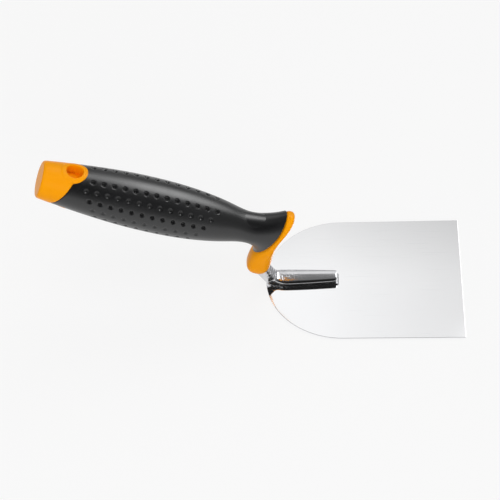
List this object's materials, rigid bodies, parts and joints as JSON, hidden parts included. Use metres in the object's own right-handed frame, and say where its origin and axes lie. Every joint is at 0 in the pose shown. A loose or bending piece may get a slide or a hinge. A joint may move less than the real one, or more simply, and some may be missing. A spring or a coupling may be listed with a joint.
{
  "type": "stucco trowel",
  "caption": "Small flat plasterer's trowel: polished blade with a round heel and a straight edge, cranked tang, and a two-part grip handle with a hanging hole.",
  "frame": {"origin": "on the working face (the underside of the blade), on the centreline, at the centre of the heel's arc", "axes": "+X along the centreline towards the straight working edge, +Z off the blade to the handle side, +Y across the blade; the part is symmetric about the XZ plane"},
  "size_m": [0.2167, 0.08, 0.0898],
  "materials": {
    "polished_steel": "mirror-polished stainless sheet",
    "forged_steel": "forged bar, ground and polished",
    "hard_plastic": "yellow-orange, glossy",
    "soft_plastic": "black, satin, with rows of small dimples"
  },
  "bodies": {
    "root": {"blade": "polished_steel", "tang": "forged_steel", "weld_bead": "forged_steel", "handle_core": "hard_plastic", "soft_grip": "soft_plastic"}
  },
  "joints": []
}
